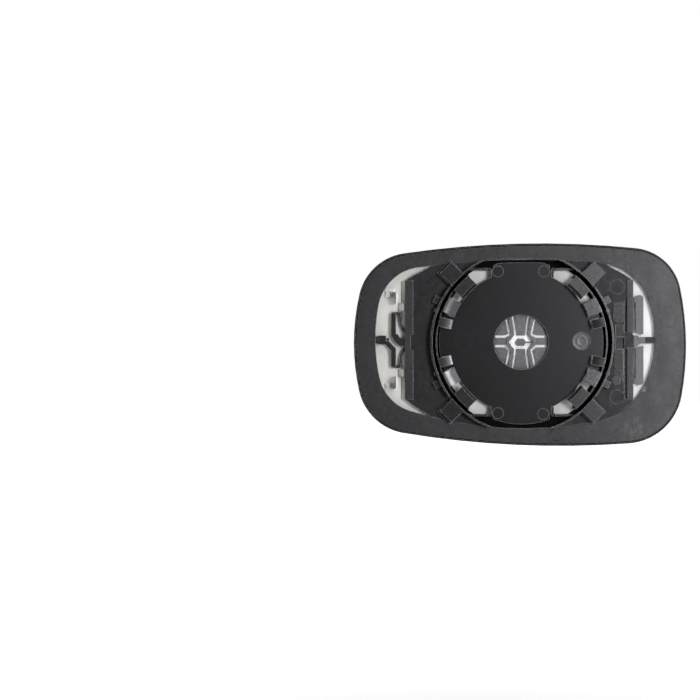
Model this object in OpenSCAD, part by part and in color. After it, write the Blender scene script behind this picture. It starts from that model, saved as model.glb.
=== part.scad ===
// Heated car door mirror glass with its moulded clip-on backing plate.
// The pieces are laid out as seen from behind: x to the right, y up, z towards the viewer.
// upright() then turns them so that the glass faces -Y and the clip ring opens towards +Y.
// The origin is the centre of the clip ring, on the face that the adjuster's plate seats on.

/* [Outline] */
// Reach of the outline to the right of the ring centre, seen from behind
reach_right = 84.3; // [78:0.1:92]
// Reach of the outline to the left of the ring centre
reach_left = 86.1; // [82:0.1:94]
// Reach of the outline above the ring centre
reach_up = 50.8; // [48:0.1:56]
// Reach of the outline below the ring centre
reach_down = 53.3; // [51:0.1:59]
// Height of the outermost point of the right side
right_mid = -1.7; // [-6:0.1:6]
// Height of the outermost point of the left side
left_mid = -0.5; // [-6:0.1:6]
// Sideways place of the highest point
top_mid = 9.8; // [0:0.1:18]
// Sideways place of the lowest point
bottom_mid = 19.4; // [10:0.1:24]
// Radius of the right side
right_r = 144; // [110:1:220]
// Radius of the left side
left_r = 112; // [95:1:160]
// Radius of the top edge
top_r = 478; // [380:1:700]
// Radius of the bottom edge
bottom_r = 484; // [380:1:700]
// Radius of the upper right corner
corner_upper_right = 26; // [18:0.5:30]
// Radius of the upper left corner
corner_upper_left = 27.5; // [20:0.5:32]
// Radius of the lower left corner
corner_lower_left = 28; // [20:0.5:32]
// Radius of the lower right corner
corner_lower_right = 29.5; // [20:0.5:33]

/* [Glass and heater] */
// Radius of the convex glass
glass_r = 1400; // [1200:50:2000]
// Thickness of the glass
glass_t = 2.0; // [1.6:0.1:2.6]
// Thickness of the heater pad
heater_t = 0.4; // [0.3:0.05:0.6]
// Adhesive gap on each face of the heater pad
glue_gap = 0.1; // [0.05:0.05:0.2]
// Distance from the edge of the glass to the edge of the heater pad
heater_margin = 1.6; // [1:0.1:4]
// Gap between the edge of the glass and the lip round it
glass_gap = 0.15; // [0.1:0.05:0.3]

/* [Rim and flange] */
// Width of the lip that wraps the edge of the glass
lip_w = 0.8; // [0.6:0.1:1.2]
// Depth of the lip below the front of the glass
lip_setback = 0.25; // [0.1:0.05:0.5]
// Width of the fine groove between the lip and the flange
groove_w = 0.5; // [0.3:0.1:0.8]
// Drop from the flange to the back of the lip
lip_drop = 0.7; // [0.4:0.1:1]
// Depth of the fine groove below the back of the lip
groove_depth = 0.6; // [0.3:0.1:0.8]
// Thickness of the flange
flange_t = 3.4; // [3:0.1:4]
// Width of the flange at the top
flange_top_w = 8.5; // [7.5:0.1:9.5]
// Width of the flange at the bottom
flange_bottom_w = 9.1; // [8:0.1:10]
// Width of the flange at the left
flange_left_w = 11.1; // [9:0.1:13]
// Width of the flange at the right
flange_right_w = 15.6; // [13:0.1:17]
// Height of the outermost point of the flange's inner edge at the right
frame_right_mid = 2.3; // [0:0.1:5]
// Sideways place of the highest point of the flange's inner edge
frame_top_mid = 3.7; // [0:0.1:8]
// Height of the outermost point of the flange's inner edge at the left
frame_left_mid = 1.6; // [0:0.1:5]
// Sideways place of the lowest point of the flange's inner edge
frame_bottom_mid = 0.9; // [0:0.1:5]
// Radius of the flange's inner edge at the right
frame_right_r = 60; // [55:1:70]
// Radius of the flange's inner edge at the top
frame_top_r = 425; // [380:5:480]
// Radius of the flange's inner edge at the left
frame_left_r = 95; // [85:1:110]
// Radius of the flange's inner edge at the bottom
frame_bottom_r = 194; // [180:1:220]

/* [Inner plate and windows] */
// Thickness of the plate inside the flange
inner_t = 2.9; // [2.4:0.1:3.2]
// Distance from the outline's left end to the straight edge at the left window
left_window_w = 26.3; // [24:0.1:28]
// Distance from the outline's right end to the straight edge at the right window
right_window_w = 27.1; // [25:0.1:29]
// Distance from the upper ends of the straight edges to the flange above the left terminal
edge_clear_top = 4.2; // [3:0.1:6]
// Distance from the lower ends of the straight edges to the flange below the left terminal
edge_clear_low = 1.8; // [1:0.1:4]
// Width of the raised rail along the left edge
left_rail_w = 4.1; // [3:0.1:5]
// Width of the raised rail along the right edge
right_rail_w = 3.1; // [2:0.1:4]
// Height of the rails above the inner plate
rail_h = 1.1; // [0.6:0.1:1.6]
// Width of the thick bridge legs
leg_w = 2.7; // [2.2:0.1:3]
// Width of the thin bridge legs
thin_leg_w = 1.3; // [1:0.1:1.6]
// Width of the spring fingers in the right window
finger_w = 3.9; // [3:0.1:4.4]
// Thickness of bridges and fingers
bridge_t = 1.7; // [1.2:0.1:2]

/* [Clip ring] */
// Thickness of the seat disc at its centre
seat_t = 3.2; // [2.8:0.1:4]
// Radius of the seat disc
seat_r = 42.2; // [40:0.1:43]
// Thickness of the floor under the channels
floor_t = 1.2; // [0.9:0.1:1.6]
// Thickness of the clip stems, which fill the groove round the seat
stem_t = 1.2; // [1:0.1:1.5]
// Thickness of the low wall behind the stems
low_wall_t = 0.8; // [0.6:0.1:1.2]
// Height of the low wall above the seat
low_wall_h = 2.2; // [1:0.1:3]
// Width of the channel between the low wall and the outer wall
channel_w = 1.7; // [1.2:0.1:2.2]
// Thickness of the outer wall
outer_wall_t = 0.9; // [0.7:0.1:1.3]
// Height of the outer wall above the seat
outer_wall_h = 6; // [5:0.1:8]
// Gap between the seat and the underside of the barbs
barb_gap = 3.2; // [2.6:0.1:3.6]
// Reach of the barbs over the seat
barb_reach = 5.2; // [3:0.1:5.5]
// Thickness of a barb at its tip
barb_tip_t = 0.8; // [0.5:0.1:1.2]
// Thickness of a barb at its stem
barb_t = 2.6; // [2:0.1:3.2]
// Radius of the centre opening
centre_r = 14; // [12:0.1:16]
// Side of the square pads outside the ring
pad_side = 8.1; // [6:0.1:9]
// Side of the small lugs outside the ring
lug_side = 3.6; // [3:0.1:4.5]

/* [Terminals] */
// Width of a terminal blade
blade_w = 6.3; // [4.8:0.1:6.3]
// Thickness of a terminal blade
blade_t = 0.8; // [0.5:0.1:0.8]
// Height of a terminal blade above its foot
blade_h = 7.2; // [6:0.1:9]
// Distance from the middle of a blade to the end of the straight edge
blade_drop = 8.9; // [8:0.1:9.4]
// Distance from the straight edge to the blades
blade_gap = 4.8; // [4.4:0.1:6]
// Length of a terminal foot, from the blade to its end
foot_l = 5.2; // [4.6:0.1:5.6]
// Distance from the end of the foot to the rivet's axis
rivet_inset = 2.3; // [2.1:0.1:2.6]
// Distance from the middle of the blade to the rivet's axis
rivet_up = 2.5; // [2:0.1:3]
// Outer radius of the rivet's shank
rivet_r = 1.1; // [0.9:0.05:1.3]
// Radius of the hole through the rivet
rivet_bore_r = 0.6; // [0.4:0.05:0.7]
// Radius of the rivet's head
rivet_head_r = 1.9; // [1.7:0.05:2.1]
// Thickness of the rivet's head
rivet_head_t = 0.35; // [0.25:0.05:0.5]
// Gap round the rivet's shank and under the terminal's foot
rivet_gap = 0.05; // [0.03:0.01:0.1]

/* [Hidden] */

// Colours
plastic = [0.12, 0.12, 0.13];
mirror_blue = [0.55, 0.64, 0.86];
foil = [0.84, 0.84, 0.82];
tin = [0.78, 0.78, 0.76];
brass = [0.8, 0.72, 0.5];

// Heights of the curved surfaces where they cross the ring's axis
plate_front = -seat_t;
flange_rear = plate_front + flange_t;
inner_rear = plate_front + inner_t;
floor_rear = plate_front + floor_t;
lip_rear = flange_rear - lip_drop;
heater_rear = plate_front - glue_gap;
heater_front = heater_rear - heater_t;
glass_rear = heater_front - glue_gap;
glass_front = glass_rear - glass_t;
lip_front = glass_front + lip_setback;
root = plate_front + floor_t / 2;
seat_foot = plate_front + 0.9;
wall_foot = plate_front + 1.2;
pad_foot = plate_front + 1.8;

// Distances that the outline follows inwards from the outer edge
flange_edge = lip_w + groove_w;
glass_edge = lip_w + glass_gap;
heater_edge = glass_edge + heater_margin;

// Straight edges of the plate beside the windows
plate_left = reach_left - left_window_w;
plate_right = reach_right - right_window_w;
blade_place = plate_left + blade_gap;
foot_end = blade_place + foot_l;
function bow(mid, r) = (foot_end + mid) * (foot_end + mid) / (2 * r);
plate_upper = reach_up - flange_top_w - bow(frame_top_mid, frame_top_r) - edge_clear_top;
plate_lower = reach_down - flange_bottom_w - bow(frame_bottom_mid, frame_bottom_r) - edge_clear_low;
plate_edge_half = (plate_upper + plate_lower) / 2;
// Height of the bridges' middle line above the ring centre
bridge_mid = (plate_upper - plate_lower) / 2;

// Places of the blades, the rivets and the left bridge's return bends
blade_offset = plate_edge_half - blade_drop;
rivet_u = foot_end - rivet_inset;
rivet_v = blade_offset + rivet_up;
bend_gap = 8.1;
bend_v = blade_offset - bend_gap;

// Radii of the clip ring, from the seat outwards
low_wall_in = seat_r + stem_t;
low_wall_out = low_wall_in + low_wall_t;
outer_wall_in = low_wall_out + channel_w;
outer_wall_out = outer_wall_in + outer_wall_t;
barb_tip = seat_r - barb_reach;
slot_play = 0.1;
slot_in = barb_tip - slot_play;

// Clips: angle from the horizontal, width, length of the sloped lead-in, and height
steep_clip = [44, 10.2, 1.5, 4.9];
ramp_clip = [26.4, 8, barb_reach, barb_gap + barb_t];
small_clip = [14, 4.7, 1.3, 4.3];
// Angles between which the slots under the clips are open
slot_from = 20.3;
slot_to = 65;
small_slot_half = 3.6;
// Angle at which the clips end and the open slot begins
open_from = 51.6;
// Height at which the open slots end, a set distance inside the flange
open_margin = 5.4;
open_top = min(reach_up - flange_top_w, reach_down - flange_bottom_w) - open_margin;
// Half width of the seat's tab at the top and the bottom
tab_half = 14.6;
tab_gap = 1.3;

// Fineness of round forms and of arcs in the outlines
ring_fn = 120;
small_fn = 32;
corner_steps = 14;
side_steps = 8;
end_steps = 8;
bowl_fn = 144;
dome_fn = 1440;
// Larger than the whole part
far = 130;
deep = 30;
bite = 0.3;

// Outline geometry: a side is its centre, its radius and its outward direction
function side_x(sign, reach, mid, r) = [[sign * (reach - r), mid], r, [sign, 0]];
function side_y(sign, reach, mid, r) = [[mid, sign * (reach - r)], r, [0, sign]];

outline_sides = [
    side_x(1, reach_right, right_mid, right_r),
    side_y(1, reach_up, top_mid, top_r),
    side_x(-1, reach_left, left_mid, left_r),
    side_y(-1, reach_down, bottom_mid, bottom_r)
];
outline_corners = [corner_upper_right, corner_upper_left, corner_lower_left, corner_lower_right];

// Inner edge of the flange, on arcs of its own
frame_sides = [
    side_x(1, reach_right - flange_right_w, frame_right_mid, frame_right_r),
    side_y(1, reach_up - flange_top_w, frame_top_mid, frame_top_r),
    side_x(-1, reach_left - flange_left_w, frame_left_mid, frame_left_r),
    side_y(-1, reach_down - flange_bottom_w, frame_bottom_mid, frame_bottom_r)
];
frame_corners = [28.4, 24.1, 23.3, 33.9];

function turn(v) = (atan2(v.y, v.x) + 360) % 360;
function after(angle, start) = angle < start ? angle + 360 : angle;

// Where two circles meet, on the side that dir points to
function meet(a, ra, b, rb, dir) =
    let (gap = norm(b - a),
         e = (b - a) / gap,
         along = (gap * gap + ra * ra - rb * rb) / (2 * gap),
         across = sqrt(max(0, ra * ra - along * along)),
         p = a + along * e + across * [-e.y, e.x],
         q = a + along * e - across * [-e.y, e.x])
    p * dir > q * dir ? p : q;

function corner_centre(a, b, r) = meet(a[0], a[1] - r, b[0], b[1] - r, a[2] + b[2]);

function arc_points(c, r, from, to, steps) = [
    for (i = [0 : steps - 1])
        let (t = from + (to - from) * i / steps)
        c + r * [cos(t), sin(t)]
];

// A closed outline of four side arcs and four corner arcs that touch them, moved in by inset
function rounded_points(sides, corners, inset) =
    let (k = [for (i = [0 : 3]) corner_centre(sides[i], sides[(i + 1) % 4], corners[i])])
    [
        for (i = [0 : 3])
            let (j = (i + 1) % 4,
                 start = turn(k[i] - sides[i][0]),
                 joint = after(turn(k[i] - sides[j][0]), start),
                 finish = after(turn(k[j] - sides[j][0]), joint % 360))
            each concat(
                arc_points(k[i], corners[i] - inset, start, joint, corner_steps),
                arc_points(sides[j][0], sides[j][1] - inset, joint % 360, finish, side_steps))
    ];

module upright() {
    rotate([90, 0, 180]) children();
}

module outline(inset) {
    polygon(rounded_points(outline_sides, outline_corners, inset));
}

module frame(inset) {
    polygon(rounded_points(frame_sides, frame_corners, inset));
}

// Everything in front of the curved surface that crosses the axis at this height
module bowl(level) {
    rotate_extrude($fn = bowl_fn) difference() {
        translate([0, -deep]) square([far, 2 * deep]);
        translate([0, level + glass_r]) circle(r = glass_r, $fn = dome_fn);
    }
}

// A flat shape as a layer between two curved surfaces
module layer(front, rear) {
    intersection() {
        translate([0, 0, -deep / 2]) linear_extrude(deep) children();
        difference() {
            bowl(rear);
            bowl(front);
        }
    }
}

// A flat shape from inside the plate to a flat top; the foot lies lower near the ring's axis
module standing(foot, top) {
    translate([0, 0, foot]) linear_extrude(top - foot) children();
}

// A flat shape cut away behind a curved surface
module clear_behind(level) {
    difference() {
        translate([0, 0, -deep / 2]) linear_extrude(deep) children();
        bowl(level);
    }
}

module through() {
    translate([0, 0, -deep / 2]) linear_extrude(deep) children();
}

module both_sides() {
    children();
    mirror([1, 0, 0]) children();
}

module four_ways() {
    both_sides() {
        children();
        mirror([0, 1, 0]) children();
    }
}

module above_bridge() {
    children();
    translate([0, 2 * bridge_mid]) mirror([0, 1, 0]) children();
}

module sector(r_in, r_out, from, to) {
    steps = 4;
    intersection() {
        difference() {
            circle(r = r_out, $fn = ring_fn);
            circle(r = r_in, $fn = ring_fn);
        }
        polygon(concat([[0, 0]], [
            for (i = [0 : steps])
                let (t = from + (to - from) * i / steps)
                2 * r_out * [cos(t), sin(t)]
        ]));
    }
}

module dot(c, r) {
    polygon(arc_points(c, r, 0, 360, small_fn));
}

// A strip with round ends between two points
module strip(a, b, w) {
    t = turn(b - a);
    polygon(concat(
        arc_points(b, w / 2, t - 90, t + 90, end_steps),
        arc_points(a, w / 2, t + 90, t + 270, end_steps)));
}

module path(points, w) {
    for (i = [0 : len(points) - 2]) {
        strip(points[i], points[i + 1], w);
    }
}

// Rim, flange and inner plate

module plate_shell() {
    difference() {
        union() {
            layer(lip_front, lip_rear) outline(0);
            layer(root, flange_rear) outline(flange_edge);
        }
        intersection() {
            through() outline(lip_w);
            bowl(plate_front);
        }
        clear_behind(lip_rear - groove_depth) difference() {
            outline(lip_w);
            outline(flange_edge);
        }
        clear_behind(inner_rear) frame(0);
        clear_behind(floor_rear) intersection() {
            circle(r = outer_wall_in + bite, $fn = ring_fn);
            frame(0);
        }
    }
}

// Fine ridges on the flange beside the seat's tabs
module flange_ridges() {
    ridge_in = 0.2;
    ridge_w = 0.6;
    ridge_h = 0.35;
    ridge_half = 18;
    layer(flange_rear - bite, flange_rear + ridge_h) intersection() {
        difference() {
            frame(-ridge_in - ridge_w);
            frame(-ridge_in);
        }
        square([2 * ridge_half, far], center = true);
    }
}

module rails() {
    layer(root, inner_rear + rail_h) {
        translate([-plate_left, -plate_lower]) square([left_rail_w, 2 * plate_edge_half]);
        translate([plate_right - right_rail_w, -plate_lower]) square([right_rail_w, 2 * plate_edge_half]);
    }
}

// Narrow stretch of the left rail, and the gap in the right one, at the bridges
module rail_cuts() {
    cut_half = 3.9;
    cut_shift = 1.2;
    rail_left = 2.9;
    clear_behind(inner_rear) {
        translate([rail_left - plate_left, bridge_mid - cut_half - cut_shift])
            square([left_rail_w, 2 * cut_half]);
        translate([plate_right - right_rail_w - bite, bridge_mid - cut_half])
            square([right_rail_w + 2 * bite, 2 * cut_half]);
    }
}

// Sunk channel, pockets and raised tabs between the ring and the right rail

module right_channel() {
    channel = 1.3;
    depth = 0.7;
    u = plate_right - right_rail_w - channel;
    for (span = [[5, plate_upper - 10.2], [0.5 - plate_lower, -3]]) {
        clear_behind(inner_rear - depth) translate([u, span[0]]) square([channel, span[1] - span[0]]);
    }
}

module right_pockets() {
    pocket_u = plate_right - 8.8;
    pocket_w = 4.4;
    deep_pocket = 1.3;
    shallow_pocket = 0.5;
    clear_behind(inner_rear - deep_pocket) translate([pocket_u, -3.2]) square([pocket_w, 5.4]);
    clear_behind(inner_rear - shallow_pocket) translate([pocket_u, 2.9]) square([pocket_w, 5.9]);
}

module right_tabs() {
    tab_u = plate_right - 10.1;
    tab_h = 0.6;
    step_h = 0.4;
    layer(root, inner_rear + tab_h) {
        translate([tab_u, plate_upper - 18.5]) square([5.6, 7]);
        dot([tab_u + 2.9, plate_upper - 18.5], 3.3);
        dot([plate_right - 8.5, 9.9 - plate_lower], 2.4);
    }
    layer(root, inner_rear + step_h) {
        translate([tab_u + 0.6, -16.9]) square([4.6, 13.2]);
        strip([plate_right - 6, 12.1 - plate_lower], [plate_right - 0.6, 0.5 - plate_lower], 0.7);
    }
}

// Clip ring

module seat() {
    difference() {
        standing(seat_foot, 0) intersection() {
            circle(r = seat_r, $fn = ring_fn);
            frame(tab_gap);
        }
        // Pockets beside the tabs
        four_ways() clear_behind(floor_rear) translate([tab_half, open_top]) {
            square(far);
        }
    }
}

module walls() {
    wall_slit_angle = 37.5;
    wall_slit = 1;
    difference() {
        standing(wall_foot, outer_wall_h) intersection() {
            difference() {
                circle(r = outer_wall_out, $fn = ring_fn);
                circle(r = outer_wall_in, $fn = ring_fn);
            }
            frame(0);
        }
        four_ways() rotate(wall_slit_angle) {
            translate([outer_wall_in - bite, -wall_slit / 2, 0])
                cube([outer_wall_t + 2 * bite, wall_slit, deep]);
        }
    }
    both_sides() standing(wall_foot, low_wall_h) {
        sector(low_wall_in, low_wall_out, -open_from, open_from);
    }
}

// Slots under the clips and the open slots beside the tabs
module clip_slots() {
    overlap = 3;
    four_ways() {
        through() sector(slot_in, seat_r, slot_from, open_from + overlap);
        through() sector(slot_in, seat_r, small_clip[0] - small_slot_half,
                         small_clip[0] + small_slot_half);
        through() intersection() {
            sector(slot_in, low_wall_out, open_from, slot_to);
            square([far, 2 * open_top], center = true);
        }
    }
}

// Ribs that close the open slots towards the flange and the tabs
module slot_ribs() {
    bar_w = 1.2;
    bar_from = 17.3;
    bar_to = 26.5;
    end_u = 15.5;
    bar_h = 0.9;
    end_h = 0.2;
    end_l = 4.9;
    four_ways() {
        standing(seat_foot, bar_h) translate([bar_from, open_top]) square([bar_to - bar_from, bar_w]);
        standing(seat_foot, end_h) translate([end_u, open_top + bar_w - end_l]) square([bar_w, end_l]);
    }
}

module clip(form) {
    width = form[1];
    slope = form[2];
    top = form[3];
    intersection() {
        rotate_extrude($fn = ring_fn) polygon([
            [low_wall_in + bite, wall_foot],
            [low_wall_in + bite, top],
            [barb_tip + slope, top],
            [barb_tip, barb_gap + barb_tip_t],
            [barb_tip, barb_gap],
            [seat_r, barb_gap],
            [seat_r, wall_foot]
        ]);
        translate([0, -width / 2, -deep]) cube([far, width, 2 * deep]);
    }
}

module clips() {
    four_ways() {
        rotate([0, 0, ramp_clip[0]]) clip(ramp_clip);
        rotate([0, 0, small_clip[0]]) clip(small_clip);
        rotate([0, 0, steep_clip[0]]) clip(steep_clip);
    }
}

// Blocks that stiffen the outer wall from outside

module ring_pads() {
    pad_angle = 44.2;
    step = 0.6;
    step_h = 1.5;
    lug_h = 3.2;
    post_angle = 20.2;
    post_h = 4.4;
    post_w = 1.6;
    post_l = 2.1;
    four_ways() {
        standing(pad_foot, outer_wall_h) rotate(pad_angle) {
            translate([outer_wall_out - bite, -pad_side / 2]) square(pad_side);
        }
        layer(root, inner_rear + step_h) rotate(pad_angle) {
            translate([outer_wall_out - bite, -pad_side / 2 - step]) square(pad_side + 2 * step);
        }
        standing(pad_foot, lug_h) rotate(ramp_clip[0]) {
            translate([outer_wall_out - bite, -lug_side / 2]) square(lug_side);
        }
        standing(wall_foot, post_h) rotate(post_angle) {
            translate([outer_wall_in - bite, -post_w / 2]) square([post_l, post_w]);
        }
    }
}

// Windows between the flange and the inner plate

module left_window() {
    up = plate_upper - 0.2;
    down = plate_lower - 0.4;
    intersection() {
        frame(0);
        polygon([
            [-far, far],
            [17 - plate_left, up + 8.9],
            [13 - plate_left, up + 7.1],
            [4.6 - plate_left, up + 2.8],
            [-plate_left, up],
            [-plate_left, -down],
            [4.2 - plate_left, -down - 3.5],
            [11.2 - plate_left, -down - 7.7],
            [14.6 - plate_left, -down - 9.7],
            [-far, -far]
        ]);
    }
}

module right_window() {
    up = plate_upper;
    down = plate_lower + 0.7;
    intersection() {
        frame(0);
        polygon([
            [far, far],
            [plate_right - 15, up + 9.3],
            [plate_right - 11, up + 6.6],
            [plate_right - 7.5, up + 4.8],
            [plate_right - 3.7, up + 2.6],
            [plate_right, up],
            [plate_right, -down],
            [plate_right - 3.9, -down - 3.5],
            [plate_right - 8, -down - 6.6],
            [plate_right - 12.4, -down - 9.2],
            [far, -far]
        ]);
    }
}

// Springy bridge in the left window, from the flange to the inner plate

module left_bridge() {
    top = inner_rear - 0.2;
    low = top - 0.9;
    front = top - bridge_t;
    edge = -plate_left;
    leg_u = edge - 5.9;
    thin_u = edge - 2.8;
    leg_v = bend_v - 0.8;
    layer(front, top) {
        translate([edge - 13.9, bridge_mid - 2.3]) square([4.2, 4.6]);
        path([[edge - 9, bridge_mid - 1.7], [leg_u, bridge_mid - 4.8], [leg_u, bridge_mid - leg_v]],
             leg_w);
        polygon([
            [edge - 7.1, bridge_mid + 3.1],
            [edge - 3.6, bridge_mid + 3.1],
            [edge - 2.6, bridge_mid + 1.2],
            [edge + 3, bridge_mid + 1.2],
            [edge + 3, bridge_mid - 4],
            [edge, bridge_mid - 4.2],
            [edge - 1.4, bridge_mid - 3.2],
            [edge - 3.3, bridge_mid - 2.9],
            [edge - 5.4, bridge_mid - 0.6],
            [edge - 6.4, bridge_mid + 1.3]
        ]);
        path([[leg_u, bridge_mid + 2.8], [leg_u, bridge_mid + leg_v]], leg_w);
    }
    layer(front, low) {
        frame_u = -reach_left + flange_left_w;
        translate([frame_u - 1, bridge_mid - 1.8]) square([edge - 12.9 - frame_u, 3.6]);
        translate([edge - 10.4, bridge_mid - 2]) square([2.4, 3]);
        // Return bends and thin inner legs
        above_bridge() {
            strip([leg_u, bridge_mid + bend_v], [thin_u, bridge_mid + bend_v], thin_leg_w + 0.5);
            path([[thin_u, bridge_mid + bend_v - 0.3], [edge - 2, bridge_mid + bend_v - 6],
                  [edge - 0.2, bridge_mid + bend_v - 9.4]], thin_leg_w);
        }
    }
}

// Small ramped guides beside the terminals
module terminal_guides() {
    guide_gap = 6.8;
    guide_l = 4;
    guide_v = bridge_mid + blade_offset - guide_gap;
    reach = 3.2;
    ramp = 1.9;
    low = heater_rear + 1.8;
    top = flange_rear + 0.6;
    above_bridge() translate([-plate_left, guide_v + guide_l, 0]) rotate([90, 0, 0]) {
        linear_extrude(guide_l) polygon([
            [bite, low],
            [bite, top],
            [ramp - reach, top],
            [-reach, low + 0.8],
            [-reach, low]
        ]);
    }
}

module right_bridge() {
    edge = plate_right;
    frame_u = reach_right - flange_right_w;
    layer(inner_rear - bridge_t, inner_rear) polygon([
        [edge - bite, bridge_mid + 2.6],
        [edge + 2.4, bridge_mid + 2.4],
        [edge + 3.2, bridge_mid + 1.6],
        [frame_u + 1, bridge_mid + 1.6],
        [frame_u + 1, bridge_mid - 1.7],
        [edge + 4.6, bridge_mid - 1.7],
        [edge + 3, bridge_mid - 2.4],
        [edge + 1.4, bridge_mid - 4],
        [edge - bite, bridge_mid - 4.3]
    ]);
}

// Spring fingers that stand beside the right edge, joined to it at their outer ends
module right_fingers() {
    u = plate_right + 1.5;
    from = 2.9;
    to = plate_edge_half - 7.5;
    end_r = finger_w / 2;
    root_v = bridge_mid + to - 2.4;
    root_w = 2.6;
    above_bridge() layer(inner_rear - bridge_t, inner_rear) {
        polygon([
            [u, bridge_mid + from + 1.2],
            [u, bridge_mid + to - end_r],
            [u + finger_w, bridge_mid + to - end_r],
            [u + finger_w, bridge_mid + from]
        ]);
        dot([u + end_r, bridge_mid + to - end_r], end_r);
        strip([plate_right - bite, root_v], [u + 1, root_v], root_w);
    }
}

// Springy web in the centre opening, at the front of the plate

web_inner = [[4, 13.2], [3.1, 7.5], [2.8, 3.5], [5.6, 0]];
// The outer slots end level, at their own height above and below
function web_outer(level) = [[7.4, 12.2], [6.2, 6.4], [5.6, 4.1], [7.9, level], [12.6, level]];

module web_slots() {
    inner_w = 1.15;
    outer_w = 1.3;
    core_u = 2.9;
    core_v = 1.9;
    strut_l = 7;
    strut_w = 0.7;
    difference() {
        union() {
            four_ways() path(web_inner, inner_w);
            both_sides() {
                path(web_outer(2.9), outer_w);
                mirror([0, 1, 0]) path(web_outer(2), outer_w);
            }
            difference() {
                polygon([[5.6, 0], [2.8, 3.4], [-2.8, 3.4], [-5.6, 0], [-2.8, -3.4], [2.8, -3.4]]);
                polygon([[core_u, 0], [core_u / 2, core_v], [-core_u / 2, core_v],
                         [-core_u, 0], [-core_u / 2, -core_v], [core_u / 2, -core_v]]);
            }
        }
        translate([0, -strut_w / 2]) square([strut_l, strut_w]);
    }
}

module centre_web() {
    web_front = plate_front + 0.2;
    web_rear = web_front + 1;
    bead = 0.9;
    tip_step = 0.4;
    tongue_half = 3.4;
    difference() {
        union() {
            standing(web_front, web_rear) circle(r = centre_r + bite, $fn = ring_fn);
            // Raised bands that bend round the side bars
            standing(web_front, web_rear + bead) four_ways() polygon([
                [4.9, 13], [3.9, 7.4], [3.5, 3.9], [6.1, 0],
                [7.3, 0], [7.2, 2.3], [4.9, 3.9], [5.4, 6.6], [6.6, 12.2]
            ]);
        }
        through() web_slots();
        // Stepped tips of the upper and lower tongues
        both_sides() for (v = [3.2, -6]) {
            translate([0, v, web_rear - tip_step]) cube([tongue_half - 0.6, 2.8, deep]);
        }
    }
}

module backing_plate() {
    color(plastic) upright() {
        difference() {
            union() {
                plate_shell();
                flange_ridges();
                rails();
                right_tabs();
                seat();
                walls();
                ring_pads();
            }
            through() left_window();
            through() right_window();
            clip_slots();
            rail_cuts();
            right_channel();
            right_pockets();
            through() circle(r = centre_r, $fn = ring_fn);
        }
        slot_ribs();
        clips();
        left_bridge();
        terminal_guides();
        right_bridge();
        right_fingers();
        centre_web();
    }
}

// Glass, heater and terminals

module mirror_glass() {
    color(mirror_blue) upright() layer(glass_front, glass_rear) outline(glass_edge);
}

// Moves a piece on to the heater pad's back at a place, square to the curved surface
module on_heater(p) {
    lean = asin(norm(p) / glass_r);
    translate([0, 0, heater_rear + glass_r]) rotate([0, 0, turn(p)]) rotate([0, -lean, 0])
        translate([0, 0, -glass_r]) rotate([0, 0, -turn(p)]) children();
}

function terminal_place(sign) = [-rivet_u, bridge_mid + sign * rivet_v];

module heater_pad() {
    color(foil) upright() difference() {
        layer(heater_front, heater_rear) outline(heater_edge);
        for (sign = [1, -1]) {
            on_heater(terminal_place(sign)) {
                translate([0, 0, -deep / 2]) cylinder(r = rivet_r + rivet_gap, h = deep, $fn = small_fn);
            }
        }
    }
}

module terminal(sign) {
    blade_u = rivet_u - blade_place;
    foot_v = rivet_head_r + 0.2;
    notch = 0.9;
    hole_r = 0.8;
    hole_drop = 2.6;
    on_heater(terminal_place(sign)) translate([0, 0, rivet_gap]) difference() {
        union() {
            translate([blade_u - blade_t / 2, -sign * rivet_up - blade_w / 2, 0])
                cube([blade_t, blade_w, blade_t + blade_h - notch]);
            translate([blade_u - blade_t / 2, -sign * rivet_up - blade_w / 2 + notch, 0])
                cube([blade_t, blade_w - 2 * notch, blade_t + blade_h]);
            translate([blade_u - foot_l, -foot_v, 0]) cube([foot_l, 2 * foot_v, blade_t]);
        }
        translate([0, 0, -1]) cylinder(r = rivet_r + rivet_gap, h = 3, $fn = small_fn);
        translate([blade_u - 1, -sign * rivet_up, blade_t + blade_h - hole_drop]) rotate([0, 90, 0])
            cylinder(r = hole_r, h = 2, $fn = small_fn);
    }
}

module terminal_upper() {
    color(tin) upright() terminal(1);
}

module terminal_lower() {
    color(tin) upright() terminal(-1);
}

// Hollow rivet through the foot and into the heater pad, with its head on the foot
module rivet(sign) {
    shank_l = heater_t + rivet_gap + blade_t;
    head_gap = 0.02;
    on_heater(terminal_place(sign)) difference() {
        union() {
            translate([0, 0, -heater_t]) cylinder(r = rivet_r, h = shank_l + rivet_head_t, $fn = small_fn);
            translate([0, 0, rivet_gap + blade_t + head_gap])
                cylinder(r = rivet_head_r, h = rivet_head_t, $fn = small_fn);
        }
        translate([0, 0, rivet_gap]) cylinder(r = rivet_bore_r, h = 4, $fn = small_fn);
    }
}

module rivet_upper() {
    color(brass) upright() rivet(1);
}

module rivet_lower() {
    color(brass) upright() rivet(-1);
}

mirror_glass();
heater_pad();
backing_plate();
terminal_upper();
terminal_lower();
rivet_upper();
rivet_lower();
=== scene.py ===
import math
from types import SimpleNamespace

import bmesh
import bpy
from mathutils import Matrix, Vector
from mathutils.kdtree import KDTree


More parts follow.
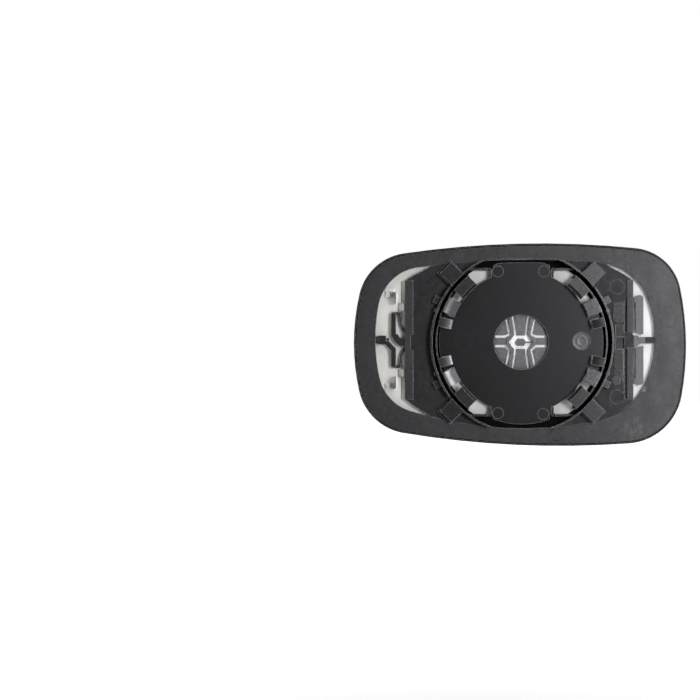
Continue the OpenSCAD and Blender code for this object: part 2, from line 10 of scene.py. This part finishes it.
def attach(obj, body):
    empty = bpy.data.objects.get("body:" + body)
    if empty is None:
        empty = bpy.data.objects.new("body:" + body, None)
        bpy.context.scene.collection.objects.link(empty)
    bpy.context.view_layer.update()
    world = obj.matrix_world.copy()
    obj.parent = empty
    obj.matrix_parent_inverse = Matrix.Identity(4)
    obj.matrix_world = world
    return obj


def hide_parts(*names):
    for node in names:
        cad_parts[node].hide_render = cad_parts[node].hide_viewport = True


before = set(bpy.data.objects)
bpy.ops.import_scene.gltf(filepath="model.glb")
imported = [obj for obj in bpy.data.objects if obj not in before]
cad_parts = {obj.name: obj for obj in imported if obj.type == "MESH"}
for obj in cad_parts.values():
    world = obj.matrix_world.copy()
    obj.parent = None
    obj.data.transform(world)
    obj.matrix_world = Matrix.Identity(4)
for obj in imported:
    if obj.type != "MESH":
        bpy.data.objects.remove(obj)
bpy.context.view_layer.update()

# Lengths are in millimetres, from the centre of the clip ring's seat. Seen from behind, u runs to the
# right, v up and w towards the viewer. A level is a height over the curve that the plate shares with
# the glass. The walls' radii are those of the faces that look into the channel between them.
MM = 0.001
GLASS_R = 1400.0
SEAT_R = 42.2
LOW_WALL_R = 44.2
CHANNEL_R = 45.9
WEB_R = 14.0
BRIDGE_V = 1.1
FLANGE_LEVEL = 0.2
INNER_LEVEL = -0.3
PAD_LEVEL = -3.3


def place(u, v, w):
    """A point in Blender's axes and metres."""
    return Vector((-u * MM, w * MM, v * MM))


def bulge(u, v):
    """Height of the shared curve over its middle."""
    return (u * u + v * v) / (2 * GLASS_R)


# Camera, placed by the size of a pixel and by the clip ring's centre in the frame
FRAME_PX = 700
PIXEL = 0.514
RING_PX = (521.3, 342.2)
DISTANCE = 850.0
SENSOR = 36.0

cam = bpy.data.objects.new("camera", bpy.data.cameras.new("camera"))
bpy.context.scene.collection.objects.link(cam)
cam.location = place((FRAME_PX / 2 - RING_PX[0]) * PIXEL, (RING_PX[1] - FRAME_PX / 2) * PIXEL, DISTANCE)
cam.rotation_euler = (math.radians(90), 0, math.radians(180))
cam.data.sensor_width = SENSOR
cam.data.lens = SENSOR * DISTANCE / (FRAME_PX * PIXEL)
cam.data.clip_start = 0.01
cam.data.clip_end = 50
bpy.context.scene.camera = cam


# Node trees
class Nodes:
    """A short way to build the node tree of a material or a world."""

    def __init__(self, owner):
        owner.use_nodes = True
        self.owner = owner
        self.tree = owner.node_tree

    def add(self, kind, **values):
        node = self.tree.nodes.new(kind)
        for name, value in values.items():
            if hasattr(node, name):
                setattr(node, name, value)
            else:
                node.inputs[name.replace("_", " ")].default_value = value
        return node

    def put(self, value, socket):
        """Sets a socket to a number or a colour, or links it to a node's output."""
        if isinstance(value, (int, float)):
            socket.default_value = value
        elif isinstance(value, tuple):
            socket.default_value = (*value, 1)
        else:
            self.tree.links.new(value, socket)

    def coords(self, kind="Object"):
        return self.add("ShaderNodeTexCoord").outputs[kind]

    def split(self, vector):
        node = self.add("ShaderNodeSeparateXYZ")
        self.put(vector, node.inputs["Vector"])
        return node.outputs

    def uvw(self):
        """u, v and w of the shaded point, in metres."""
        x, y, z = self.split(self.coords())
        return self.math("MULTIPLY", x, -1), z, y

    def distance(self, point=(0, 0, 0)):
        """How far the shaded point is from a fixed one, in metres."""
        node = self.add("ShaderNodeVectorMath", operation="DISTANCE")
        self.put(self.coords(), node.inputs[0])
        node.inputs[1].default_value = point
        return node.outputs["Value"]

    def noise(self, scale, detail=2.0, rough=0.5, stretch=None):
        """Noise from 0 to 1, with its scale in waves a metre."""
        node = self.add("ShaderNodeTexNoise", Scale=scale, Detail=detail, Roughness=rough)
        at = self.coords()
        if stretch:
            mapping = self.add("ShaderNodeMapping", Scale=stretch)
            self.put(at, mapping.inputs["Vector"])
            at = mapping.outputs["Vector"]
        self.put(at, node.inputs["Vector"])
        return node.outputs["Fac"]

    def math(self, operation, *values):
        node = self.add("ShaderNodeMath", operation=operation)
        for socket, value in zip(node.inputs, values):
            self.put(value, socket)
        return node.outputs[0]

    def both(self, a, b):
        return self.math("MULTIPLY", a, b)

    def spread(self, value, low, high, start=0.3, end=0.7, ease="LINEAR"):
        """Low at the start of the value's range, high at its end, and held beyond both."""
        node = self.add("ShaderNodeMapRange", interpolation_type=ease,
                        From_Min=start, From_Max=end, To_Min=low, To_Max=high)
        self.put(value, node.inputs["Value"])
        return node.outputs["Result"]

    def rise(self, length, start, end):
        """0 to 1 between two lengths."""
        return self.spread(length, 0, 1, start * MM, end * MM)

    def fall(self, length, start, end):
        """1 to 0 between two lengths."""
        return self.spread(length, 1, 0, start * MM, end * MM)

    def band(self, value, low, high, soft=0.2, unit=MM):
        """1 where the value lies between two limits."""
        return self.both(self.spread(value, 0, 1, low * unit, (low + soft) * unit),
                         self.spread(value, 1, 0, (high - soft) * unit, high * unit))

    def mix(self, factor, a, b):
        """Number a where the factor is 0, and number b where it is 1."""
        node = self.add("ShaderNodeMix", data_type="FLOAT")
        for name, value in (("Factor", factor), ("A", a), ("B", b)):
            self.put(value, node.inputs[name])
        return node.outputs["Result"]

    def blend(self, factor, a, b):
        """Colour a where the factor is 0, and colour b where it is 1."""
        node = self.add("ShaderNodeMix", data_type="RGBA")
        for socket, value in ((node.inputs["Factor"], factor), (node.inputs[6], a), (node.inputs[7], b)):
            self.put(value, socket)
        return node.outputs[2]


class Surface(Nodes):
    """The node tree of a new material, round its Principled shader."""

    def __init__(self, name):
        super().__init__(bpy.data.materials.new(name))
        self.bsdf = self.tree.nodes["Principled BSDF"]

    def fix(self, **values):
        """Constants on the shader's own sockets."""
        for name, value in values.items():
            self.bsdf.inputs[name.replace("_", " ")].default_value = value

    def colour(self, value):
        self.put(value, self.bsdf.inputs["Base Color"])

    def roughness(self, value):
        self.put(value, self.bsdf.inputs["Roughness"])

    def relief(self, normal):
        self.put(normal, self.bsdf.inputs["Normal"])

    def mottle(self, dark, light, *noise):
        """A colour that drifts between two, in the pattern of a noise."""
        return self.blend(self.spread(self.noise(*noise), 0, 1), dark, light)

    def bump(self, height, strength, depth, over=None):
        """Relief of a depth in millimetres, over another normal if one is given."""
        node = self.add("ShaderNodeBump", Strength=strength, Distance=depth * MM)
        self.put(height, node.inputs["Height"])
        if over is not None:
            self.put(over, node.inputs["Normal"])
        return node.outputs["Normal"]

    def rounded(self, radius):
        """Edges that shade as if they were rounded."""
        return self.add("ShaderNodeBevel", samples=4, Radius=radius * MM).outputs["Normal"]

    def near_edge(self, radius, full, none):
        """1 at a convex or concave edge, falling to 0 about a radius away."""
        edge = self.add("ShaderNodeVectorMath", operation="DOT_PRODUCT")
        self.put(self.rounded(radius), edge.inputs[0])
        self.put(self.add("ShaderNodeNewGeometry").outputs["Normal"], edge.inputs[1])
        return self.spread(edge.outputs["Value"], 1, 0, full, none)


# Materials, and the zones that the plate's plastic differs in
FLANGE_LEVELS = (0.03, 1.2)
INNER_LEVELS = (-0.7, -0.1)
SEAT_HEIGHTS = (-0.5, 0.4)
CLIP_RADII = (36.6, 44.3)
CLIP_RISE = (1.6, 3.0)
RAMP_SINES = (0.355, 0.53)
FINGERS_U = (57.6, 63.6)
FINGERS_V = (-25.5, 26.5)
GUIDES_U = (-64.0, -60.0)
GUIDES_OFF_BRIDGE = (14.6, 19.2)
RIGHT_END_U = (20, 85)
RIGHT_SIDE_U = (-30, 30)
SCUFF_AT = place(58.5, -44.5, 0.6)
SCUFF_RADII = (1, 8)


def plate_zones(n):
    """Masks for the plate's zones, by where they lie on it."""
    u, v, w = n.uvw()
    square = n.math("ADD", n.both(u, u), n.both(v, v))
    radius = n.math("SQRT", square)
    level = n.math("MULTIPLY_ADD", square, -0.5 / (GLASS_R * MM), w)
    clips = n.both(n.band(radius, *CLIP_RADII), n.rise(w, *CLIP_RISE))
    sine = n.math("DIVIDE", n.math("ABSOLUTE", v), radius)
    off_bridge = n.math("ABSOLUTE", n.math("SUBTRACT", v, BRIDGE_V * MM))
    return SimpleNamespace(
        flange=n.both(n.band(level, *FLANGE_LEVELS), n.rise(radius, SEAT_R + 0.2, SEAT_R + 0.6)),
        seat=n.both(n.band(w, *SEAT_HEIGHTS), n.fall(radius, SEAT_R - 0.1, SEAT_R + 0.1)),
        inner=n.both(n.band(level, *INNER_LEVELS), n.rise(radius, LOW_WALL_R - 0.2, LOW_WALL_R + 0.4)),
        ramps=n.both(clips, n.band(sine, *RAMP_SINES, soft=0.01, unit=1)),
        web=n.fall(radius, WEB_R - 0.2, WEB_R + 0.2),
        fingers=n.both(n.band(u, *FINGERS_U), n.band(v, *FINGERS_V)),
        guides=n.both(n.band(u, *GUIDES_U), n.band(off_bridge, *GUIDES_OFF_BRIDGE, soft=0.1)),
        lit_right_end=n.rise(u, *RIGHT_END_U),
        lit_right_side=n.rise(u, *RIGHT_SIDE_U),
    )


def black_plastic(name, sheen, highlight_share=1.0):
    """Moulded plastic. Seat and inner plate are smooth and the flange is finely textured. The centre
    web, the right-hand fingers and the left-hand guides are paler; the ramps are paler as a painted
    reflection, and ramps and flange are painted lighter to the right as painted light. Edges get a
    painted pale highlight, and crevices painted dark shade."""
    n = Surface(name)
    n.fix(Specular_IOR_Level=sheen)
    zone = plate_zones(n)
    patches = n.spread(n.noise(55, 4.0, 0.6), 0, 1)
    smears = n.spread(n.noise(120, 5.0, 0.65, (1, 1, 0.6)), 0, 1, 0.35, 0.68)
    specks = n.spread(n.noise(900, 5.0, 0.7), 0, 1)
    scratches = n.spread(n.noise(260, 4.0, 0.7, (2.2, 1, 0.7)), 0, 1, 0.42, 0.62)
    scuff = n.both(n.fall(n.distance(SCUFF_AT), *SCUFF_RADII), scratches)
    # Painted highlight: edges are painted pale, less so on the flange.
    edge_highlight = n.both(n.near_edge(radius=0.35, full=0.90, none=0.995),
                  n.math("MULTIPLY_ADD", zone.flange, -0.7, 1))

    # Painted light: flange and ramps are lighter towards the right; the ramps' pale tone is a painted
    # reflection.
    flange = n.blend(zone.lit_right_end, (0.015, 0.015, 0.0165), (0.060, 0.060, 0.064))
    ramp = n.blend(zone.lit_right_side, (0.058, 0.058, 0.060), (0.18, 0.18, 0.187))
    colour = n.blend(patches, (0.005, 0.005, 0.0056), (0.010, 0.010, 0.0112))
    for mask, over in (
            (zone.flange, n.blend(smears, (0.004, 0.004, 0.0045), flange)),
            (zone.ramps, n.blend(specks, (0.052, 0.052, 0.055), ramp)),
            (zone.web, n.blend(specks, (0.070, 0.070, 0.072), (0.125, 0.125, 0.125))),
            (zone.fingers, n.blend(specks, (0.085, 0.085, 0.088), (0.155, 0.155, 0.162))),
            (zone.guides, n.blend(specks, (0.32, 0.32, 0.32), (0.48, 0.48, 0.465))),
            (scuff, (0.10, 0.10, 0.107)),
            (n.both(edge_highlight, highlight_share), n.blend(specks, (0.12, 0.12, 0.126), (0.55, 0.55, 0.565)))):
        colour = n.blend(mask, colour, over)
    # Painted shade: the colour darkens to black in crevices, by how hemmed in a point is.
    corner_shade = n.add("ShaderNodeAmbientOcclusion", samples=6, Distance=0.004)
    open_sky = n.spread(corner_shade.outputs["AO"], 0.05, 1, 0.25, 0.75)
    n.colour(n.blend(open_sky, (0.001, 0.001, 0.001), colour))

    uneven = n.both(n.spread(n.noise(420, 4.0, 0.65), -0.03, 0.03), n.math("SUBTRACT", 1, zone.seat))
    rough = n.math("MULTIPLY_ADD", patches, -0.035, n.math("ADD", uneven, 0.28))
    shift = n.math("MULTIPLY_ADD", zone.seat, 0.035, n.both(zone.inner, -0.04))
    smeared = n.both(zone.flange, n.math("MULTIPLY_ADD", smears, -0.05, 0.05))
    n.roughness(n.math("ADD", rough, n.math("ADD", shift, smeared)))
    grain = n.bump(n.noise(1500, 2.0), 0.08, 0.1, n.rounded(0.3))
    n.relief(n.bump(n.noise(240, 3.0), 0.10, 0.12, grain))
    return n.owner


def ridge_plastic():
    """A paler plastic on the raised rings of pin marks. On the liner's outer side it is a dark strip of
    painted shade.
    """
    n = Surface("ridge_plastic")
    n.colour(n.mottle((0.025, 0.025, 0.026), (0.075, 0.075, 0.078), 700, 4.0))
    n.roughness(n.spread(n.noise(420, 4.0), 0.34, 0.46))
    n.relief(n.bump(n.noise(1500, 3.0), 0.1, 0.1))
    return n.owner


def groove_plastic():
    """Painted shade: dull black put in the fine groove round the flange and in the channels of the clip
    ring.
    """
    n = Surface("groove_plastic")
    n.fix(Specular_IOR_Level=0.04)
    n.colour(n.blend(n.noise(500, 3.0), (0.0005, 0.0005, 0.0005), (0.002, 0.002, 0.002)))
    n.roughness(n.spread(n.noise(300, 3.0), 0.5, 0.7))
    return n.owner


def heater_foil():
    """Pale satin film, speckled at the left, and painted brighter at the right and behind the centre web
    as painted light.
    """
    n = Surface("heater_foil")
    u = n.uvw()[0]
    tint = n.mottle((0.52, 0.505, 0.475), (0.64, 0.62, 0.585), 60, 4.0)
    tint = n.blend(n.spread(n.noise(1100, 3.0, 0.7), 0, 0.5, 0.6, 0.75), tint, (0.32, 0.32, 0.31))
    # Painted light: the foil is lighter towards the right.
    tint = n.blend(n.rise(u, 20, 50), tint, (0.86, 0.845, 0.87))
    # Painted light: brighter behind the centre web, where its deep slots would be in shade.
    n.colour(n.blend(n.fall(n.distance(), WEB_R, WEB_R + 2), tint, (0.95, 0.94, 0.95)))
    n.roughness(n.spread(n.noise(400), 0.3, 0.45))
    n.relief(n.bump(n.noise(90, 3.0), 0.15, 0.4))
    return n.owner


def liner_paper():
    """Cream liner at the edge of the heater pad."""
    n = Surface("liner_paper")
    n.colour(n.mottle((0.54, 0.53, 0.46), (0.84, 0.83, 0.74), 300, 4.0, 0.6, (1, 1, 0.3)))
    n.roughness(n.spread(n.noise(500), 0.5, 0.7))
    n.relief(n.bump(n.noise(900, 3.0), 0.2, 0.1))
    return n.owner


def mirror_coat():
    """Blue-toned silvering with a painted reflection that deepens towards the upper right, seen from
    behind.
    """
    n = Surface("mirror_coat")
    n.fix(Metallic=1, Roughness=0.04)
    u, v = n.uvw()[:2]
    slope = n.math("MULTIPLY_ADD", u, 0.75, v)
    # Painted reflection: the colour sweeps from pale to deep blue towards the upper right.
    reflection_sweep = n.math("MULTIPLY_ADD", n.spread(n.noise(14), -1, 1), 0.008, slope)
    n.colour(n.blend(n.rise(reflection_sweep, -75, 85), (0.60, 0.66, 0.89), (0.20, 0.29, 0.67)))
    return n.owner


def ground_edge():
    """Finely ground edge of the glass."""
    n = Surface("ground_glass_edge")
    n.fix(Roughness=0.35)
    n.colour(n.mottle((0.30, 0.38, 0.40), (0.44, 0.52, 0.54), 900, 3.0))
    n.relief(n.bump(n.noise(3000), 0.3, 0.05))
    return n.owner


def metal(name, dark, light, smoothest, roughest):
    """Plated strip with rolling lines and a little dullness."""
    n = Surface(name)
    n.fix(Metallic=1)
    n.colour(n.mottle(dark, light, 700, 3.0))
    n.roughness(n.spread(n.noise(1500, 3.0, 0.6, (1, 1, 9)), smoothest, roughest))
    n.relief(n.bump(n.noise(1800, 2.0, 0.5, (1, 1, 12)), 0.2, 0.03, n.rounded(0.15)))
    return n.owner


PLASTIC = black_plastic("black_plastic", sheen=0.54)
SEAT_PLASTIC = black_plastic("seat_plastic", sheen=0.23)
MARK_PLASTIC = black_plastic("mark_plastic", sheen=0.28, highlight_share=0.0)
RIDGE_AND_SHADE_LINE = ridge_plastic()
SHADE_BLACK = groove_plastic()
FOIL = heater_foil()
LINER = liner_paper()
MIRROR = mirror_coat()
EDGE = ground_edge()
TIN = metal("tinned_strip", (0.48, 0.48, 0.47), (0.70, 0.70, 0.68), 0.32, 0.5)
RIVET = metal("plated_rivet", (0.62, 0.61, 0.57), (0.84, 0.83, 0.79), 0.2, 0.34)


# Mesh helpers
WELD = 2e-6


def finish_with(obj, *materials):
    if obj.data.materials:
        obj.data.materials.clear()
    for material in materials:
        obj.data.materials.append(material)


def mesh_object(name, bm):
    mesh = bpy.data.meshes.new(name)
    bm.to_mesh(mesh)
    bm.free()
    obj = bpy.data.objects.new(name, mesh)
    bpy.context.scene.collection.objects.link(obj)
    return obj


def welded(node):
    """The CAD node's mesh with its faces joined at their edges."""
    bm = bmesh.new()
    bm.from_mesh(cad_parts[node].data)
    bmesh.ops.remove_doubles(bm, verts=bm.verts, dist=WELD)
    return bm


def bridge(bm, a, b, closed=True):
    """Faces between two rows of as many points, which close on themselves or end."""
    count = len(a)
    return [bm.faces.new((a[i], a[(i + 1) % count], b[(i + 1) % count], b[i]))
            for i in range(count if closed else count - 1)]


def smooth_faces(bm):
    bmesh.ops.recalc_face_normals(bm, faces=bm.faces)
    for face in bm.faces:
        face.smooth = True


# Carrier. Its faces are told apart by how far they look back, by radius, height and level, and by how
# near they lie to the edge of the glass.
BODY_SLOT, SEAT_SLOT, SHADE_SLOT = 0, 1, 2
CREASE = math.radians(24)
OPEN_EDGE = 3.0
FACING = 0.9
UPRIGHT = 0.3
SEAT_REACH = 0.4
CHANNEL_RADII = (36, 47.5)
CHANNEL_FLOORS = (-2.6, -0.5)
CHANNEL_TOP = 3.5
WALL_REACH = 0.15
LIP_BACK_LEVELS = (-0.7, -0.4)
LIP_BACK_REACH = 1.2
RIM_LEVELS = (-1.4, 0.15)
GROOVE_REACH = 0.6
SAMPLES_A_SIDE = 12


def smooth_copy(node, name):
    """The CAD node's own shape, with curved walls that shade as curves."""
    bm = welded(node)
    smooth_faces(bm)
    for edge in bm.edges:
        edge.smooth = len(edge.link_faces) == 2 and edge.calc_face_angle(OPEN_EDGE) < CREASE
    return mesh_object(name, bm)


def front_edge(node):
    """The closed edge round the front of a curved plate, in order, and its front and back levels."""
    bm = welded(node)
    sharp = 0.8
    levels = [v.co.y / MM - bulge(v.co.x / MM, v.co.z / MM) for v in bm.verts]
    low, high = min(levels), max(levels)
    bm.verts.index_update()
    beside = {}
    for edge in bm.edges:
        in_front = all(levels[v.index] < (low + high) / 2 for v in edge.verts)
        if edge.calc_face_angle(0) > sharp and in_front:
            for a, b in (edge.verts, reversed(edge.verts)):
                beside.setdefault(a.index, []).append(b.index)
    bm.verts.ensure_lookup_table()
    first = min(beside)
    loop = [first, beside[first][0]]
    while True:
        onward = [i for i in beside[loop[-1]] if i != loop[-2]]
        if not onward or onward[0] == first:
            break
        loop.append(onward[0])
    points = [(-bm.verts[i].co.x / MM, bm.verts[i].co.z / MM) for i in loop]
    bm.free()
    return points, low, high


def outline_tree(outline):
    """Tells how far a place is from an outline, seen from behind."""
    tree = KDTree(len(outline) * SAMPLES_A_SIDE)
    for i, (a, b) in enumerate(zip(outline, outline[1:] + outline[:1])):
        for j in range(SAMPLES_A_SIDE):
            u, v = (a[k] + (b[k] - a[k]) * j / SAMPLES_A_SIDE for k in (0, 1))
            tree.insert((u, v, 0), i * SAMPLES_A_SIDE + j)
    tree.balance()
    return tree


def plate_slot(face, rim):
    """The slot for a face of the plate: the seat and the lip's back have a duller plastic, and the
    groove over the edge of the glass and the channels of the clip ring a black one of painted shade."""
    u, w, v = -face.center.x / MM, face.center.y / MM, face.center.z / MM
    level = w - bulge(u, v)
    radius = math.hypot(u, v)
    off_rim = rim.find((u, v, 0))[2]
    facing = face.normal.y > FACING
    upright = abs(face.normal.y) < UPRIGHT
    by_wall = min(abs(radius - LOW_WALL_R), abs(radius - CHANNEL_R)) < WALL_REACH
    above_groove = facing and level > LIP_BACK_LEVELS[0]
    if facing and abs(w) < SEAT_REACH and radius < SEAT_R:
        return SEAT_SLOT
    if CHANNEL_RADII[0] < radius < CHANNEL_RADII[1] and CHANNEL_FLOORS[0] < w < CHANNEL_FLOORS[1]:
        return SHADE_SLOT
    if upright and by_wall and w < CHANNEL_TOP:
        return SHADE_SLOT
    if above_groove and level < LIP_BACK_LEVELS[1] and off_rim < LIP_BACK_REACH:
        return SEAT_SLOT
    if not above_groove and RIM_LEVELS[0] < level < RIM_LEVELS[1] and off_rim < GROOVE_REACH:
        return SHADE_SLOT
    return BODY_SLOT


plate = smooth_copy("backing_plate", "carrier")
finish_with(plate, PLASTIC, SEAT_PLASTIC, SHADE_BLACK)
rim_tree = outline_tree(front_edge("mirror_glass")[0])
for polygon in plate.data.polygons:
    # Painted shade: faces of the groove and the channels take the black material.
    polygon.material_index = plate_slot(polygon, rim_tree)
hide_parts("backing_plate")
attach(plate, "root")


# Heater pad, terminals and rivets
finish_with(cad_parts["heater_pad"], FOIL)
for end in ("upper", "lower"):
    finish_with(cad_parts["terminal_" + end], TIN)
    finish_with(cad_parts["rivet_" + end], RIVET)


# Glass
def curved_glass(name, node):
    """Convex glass with a fine, even skin and a narrow ground edge."""
    outline, low, high = front_edge(node)
    count = len(outline)
    mid_u = sum(p[0] for p in outline) / count
    mid_v = sum(p[1] for p in outline) / count
    bevel = 0.3
    steps = 36
    back_step = 4
    soft_edge = 0.4
    rows = [(t / steps, bevel, low) for t in range(1, steps + 1)]
    rows += [(1, 0, low + bevel), (1, 0, high - bevel)]
    rows += [(t / steps, bevel, high) for t in range(steps, 0, -back_step)]
    bm = bmesh.new()
    rings = []
    for t, inset, level in rows:
        ring = []
        for u, v in outline:
            out = math.hypot(u - mid_u, v - mid_v)
            k = t * (out - inset) / out
            a, b = mid_u + (u - mid_u) * k, mid_v + (v - mid_v) * k
            ring.append(bm.verts.new(place(a, b, level + bulge(a, b))))
        rings.append(ring)
    for row, (a, b) in enumerate(zip(rings, rings[1:])):
        for face in bridge(bm, a, b):
            face.material_index = 1 if steps - 1 <= row <= steps + 1 else 0
    for ring, level in ((rings[0], low), (rings[-1], high)):
        middle = bm.verts.new(place(mid_u, mid_v, level + bulge(mid_u, mid_v)))
        for i in range(count):
            bm.faces.new((ring[i], ring[(i + 1) % count], middle))
    smooth_faces(bm)
    for edge in bm.edges:
        edge.smooth = edge.calc_face_angle(0) < soft_edge
    return mesh_object(name, bm)


glass = curved_glass("glass", "mirror_glass")
finish_with(glass, MIRROR, EDGE)
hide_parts("mirror_glass")
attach(glass, "root")


# Edge of the pad's liner, which shows beside the straight edge of the plate
LINER_SECTION = ((-61.6, 0.02), (-61.25, 0.28), (-59.9, 0.28), (-59.9, 0.02))
LINER_SPANS = ((-29.2, -4.2), (6.0, 31.2))


def pad_edge(name, section, spans):
    """Strips along v of one section, given as places in u and heights over the pad."""
    steps = 24
    bm = bmesh.new()
    for low, high in spans:
        rows = []
        for u, height in section:
            along = [low + (high - low) * i / steps for i in range(steps + 1)]
            rows.append([bm.verts.new(place(u, v, PAD_LEVEL + bulge(u, v) + height)) for v in along])
        for side, (a, b) in enumerate(zip(rows, rows[1:])):
            for face in bridge(bm, a, b, closed=False):
                # Painted shade: the outer sloped side takes the dark line material.
                face.material_index = 1 if side == 0 else 0
        for i in (0, steps):
            bm.faces.new([row[i] for row in rows])
    bmesh.ops.recalc_face_normals(bm, faces=bm.faces)
    return mesh_object(name, bm)


liner = pad_edge("pad_liner_edge", LINER_SECTION, LINER_SPANS)
finish_with(liner, LINER, RIDGE_AND_SHADE_LINE)
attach(liner, "root")


# Witness marks of ejector pins. A ring's section is given as distances out from its radius and heights
# over the plate, and a disc's middle as shares of the radius and heights.
SEAT, INNER, FLANGE = "seat", "inner", "flange"
RING, FAINT, DISC = "ring", "faint", "disc"
RING_SECTIONS = {
    RING: ((0.35, -0.05), (0.16, 0.10), (-0.05, 0.10), (-0.25, -0.05)),
    FAINT: ((0.5, -0.005), (0.16, 0.007), (-0.05, 0.007), (-0.4, -0.005)),
    DISC: ((0.35, -0.05), (0.16, 0.10), (-0.05, 0.10), (-0.25, 0.03)),
}
DISC_MIDDLE = ((0.62, 0.05), (0.5, 0.12), (0.42, 0.05))
DISC_TIP = (0.4, 0.07)
PIN_MARKS = (
    (-49.5, 27.9, 3.6, INNER, FAINT),
    (-29.7, 0.6, 4.6, SEAT, FAINT),
    (31.0, 0.6, 4.5, SEAT, DISC),
    (-12.0, 36.4, 2.8, SEAT, RING),
    (11.7, 36.4, 2.8, SEAT, RING),
    (-12.0, -36.5, 2.8, SEAT, RING),
    (11.2, -36.9, 2.8, SEAT, RING),
    (0.0, 37.2, 1.5, SEAT, FAINT),
    (49.2, 28.4, 3.7, INNER, RING),
    (49.2, -28.2, 3.7, INNER, RING),
    (75.4, 11.9, 4.2, FLANGE, RING),
    (77.0, 0.6, 3.6, FLANGE, RING),
    (59.0, -40.2, 3.2, FLANGE, FAINT),
    (18.3, -47.2, 3.2, FLANGE, FAINT),
)


def plate_back(u, v, where):
    """Height of the plate's back. The seat is flat, and its other two faces follow the curve."""
    if where == SEAT:
        return 0.0
    return (INNER_LEVEL if where == INNER else FLANGE_LEVEL) + bulge(u, v)


def pin_marks(name, rows):
    """Low rings and a slightly domed disc, each given by its centre, radius, face and kind."""
    sides = 40
    bm = bmesh.new()
    for u, v, r, where, kind in rows:
        section = [(r + out, height) for out, height in RING_SECTIONS[kind]]
        if kind == DISC:
            section += [(r * share, height) for share, height in DISC_MIDDLE] + [DISC_TIP]
        rings = []
        for radius, height in section:
            ring = []
            for i in range(sides):
                turn = 2 * math.pi * i / sides
                x, y = u + radius * math.cos(turn), v + radius * math.sin(turn)
                ring.append(bm.verts.new(place(x, y, plate_back(x, y, where) + height)))
            rings.append(ring)
        for a, b in zip(rings, rings[1:]):
            for face in bridge(bm, a, b):
                face.material_index = 1 if kind == FAINT else 0
        if kind == DISC:
            bm.faces.new(rings[-1])
    smooth_faces(bm)
    return mesh_object(name, bm)


marks = pin_marks("pin_marks", PIN_MARKS)
finish_with(marks, RIDGE_AND_SHADE_LINE, MARK_PLASTIC)
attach(marks, "root")


# Floor, in metres, and how strongly it glows
FLOOR_DROP = 0.24
FLOOR_HALF = 6
GLOW_START, GLOW_END = 0.25, 0.65
GLOW_NEAR, GLOW_FAR = 0.28, 0.75
GLOW_AHEAD = 0.85


def backdrop_material():
    """Pale floor that keeps the object's shadow. The camera sees it glow towards white away from the
    object, and reflections see it dark behind the object and bright ahead of the glass."""
    n = Surface("pale_floor")
    rays = n.add("ShaderNodeLightPath").outputs
    n.colour(n.blend(rays["Is Glossy Ray"], (0.9, 0.9, 0.9), (0.2, 0.2, 0.2)))
    n.fix(Specular_IOR_Level=0)
    n.roughness(n.spread(n.noise(3), 0.85, 0.95))
    ahead = n.spread(n.split(n.coords())["Y"], GLOW_AHEAD, 0, -0.25, 0.1)
    away = n.spread(n.distance(), GLOW_NEAR, GLOW_FAR, GLOW_START, GLOW_END)
    glow = n.add("ShaderNodeEmission")
    n.put(n.math("MULTIPLY_ADD", rays["Is Camera Ray"], away, n.both(rays["Is Glossy Ray"], ahead)),
          glow.inputs["Strength"])
    lit = n.add("ShaderNodeAddShader")
    n.put(n.bsdf.outputs[0], lit.inputs[0])
    n.put(glow.outputs[0], lit.inputs[1])
    n.put(lit.outputs[0], n.tree.nodes["Material Output"].inputs["Surface"])
    return n.owner


def pale_floor():
    bm = bmesh.new()
    bmesh.ops.create_grid(bm, x_segments=8, y_segments=8, size=FLOOR_HALF)
    obj = mesh_object("floor", bm)
    obj.location = (0, 0, -FLOOR_DROP)
    finish_with(obj, backdrop_material())
    return obj


floor = pale_floor()


# Light
ROOM_AHEAD = 0.95
ROOM_LEFT, ROOM_RIGHT = 0.05, 0.47
FAR_RIGHT_SHARE = 0.15


def studio():
    """A room that is bright ahead of the glass. Behind the object it is dim, and brighter to the right
    of the view, up to a fall-off at the far right. The camera sees it white."""
    n = Nodes(bpy.data.worlds.new("studio"))
    rays = n.add("ShaderNodeLightPath").outputs
    towards = n.split(n.coords("Generated"))
    ahead = n.spread(towards["Y"], 0, 1, 0.03, -0.15, "SMOOTHSTEP")
    right = n.spread(towards["X"], ROOM_LEFT, ROOM_RIGHT, 0.15, -0.70, "SMOOTHSTEP")
    far_right = n.spread(towards["X"], 1, FAR_RIGHT_SHARE, -0.70, -0.92, "SMOOTHSTEP")
    room = n.mix(ahead, n.both(right, far_right), ROOM_AHEAD)
    white = n.math("MAXIMUM", rays["Is Camera Ray"], rays["Is Transmission Ray"])
    back = n.tree.nodes["Background"]
    n.put(n.mix(white, room, 1), back.inputs["Strength"])
    n.put((1, 1, 1), back.inputs["Color"])
    return n.owner


def box_light(name, at, aim, width, height, watts, colour=(1, 1, 1)):
    data = bpy.data.lights.new(name, "AREA")
    data.shape = "RECTANGLE"
    data.size = width
    data.size_y = height
    data.energy = watts
    data.color = colour
    lamp = bpy.data.objects.new(name, data)
    lamp.location = at
    lamp.rotation_euler = (aim - at).to_track_quat("-Z", "Y").to_euler()
    bpy.context.scene.collection.objects.link(lamp)


bpy.context.scene.world = studio()
box_light("key", place(400, 90, 880), place(20, 0, 0), width=0.26, height=0.3, watts=5.7,
          colour=(0.955, 0.97, 1.0))
box_light("left", place(-640, 60, 480), place(-40, 0, 0), width=0.3, height=0.4, watts=1.0)
box_light("top", place(60, 620, 420), place(0, 0, 0), width=0.6, height=0.25, watts=1.6)

bpy.context.scene.view_settings.view_transform = "Standard"
